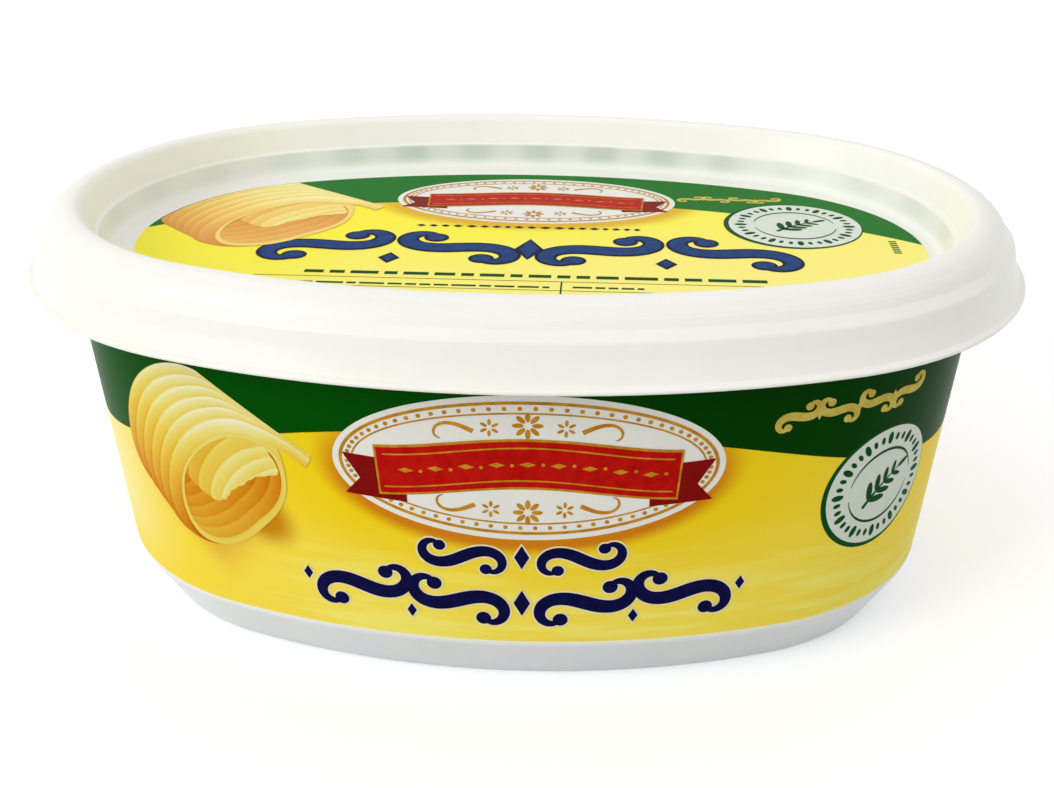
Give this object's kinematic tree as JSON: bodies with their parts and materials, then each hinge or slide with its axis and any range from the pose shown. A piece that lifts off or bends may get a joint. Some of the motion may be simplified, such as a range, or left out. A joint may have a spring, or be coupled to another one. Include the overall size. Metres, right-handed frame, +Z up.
{
  "type": "butter tub",
  "caption": "Closed oval tub of spreadable butter: tapered printed wall on a bevelled foot, and a press-fit lid with a rounded crown round a sunk printed panel for stacking.",
  "frame": {"origin": "middle of the foot, on the surface that the tub stands on", "axes": "+X along the tub's long side, +Y towards the back, where the label's seam is, +Z up through the lid"},
  "size_m": [0.128, 0.0894, 0.053],
  "materials": {
    "tub_plastic": "satin white polypropylene",
    "lid_plastic": "satin white polypropylene",
    "side_print": "printed in-mould film, soft gloss",
    "lid_print": "printed in-mould film, soft gloss"
  },
  "bodies": {
    "root": {"tub": "tub_plastic", "lid": "lid_plastic", "side_label": "side_print", "lid_label": "lid_print"}
  },
  "joints": []
}
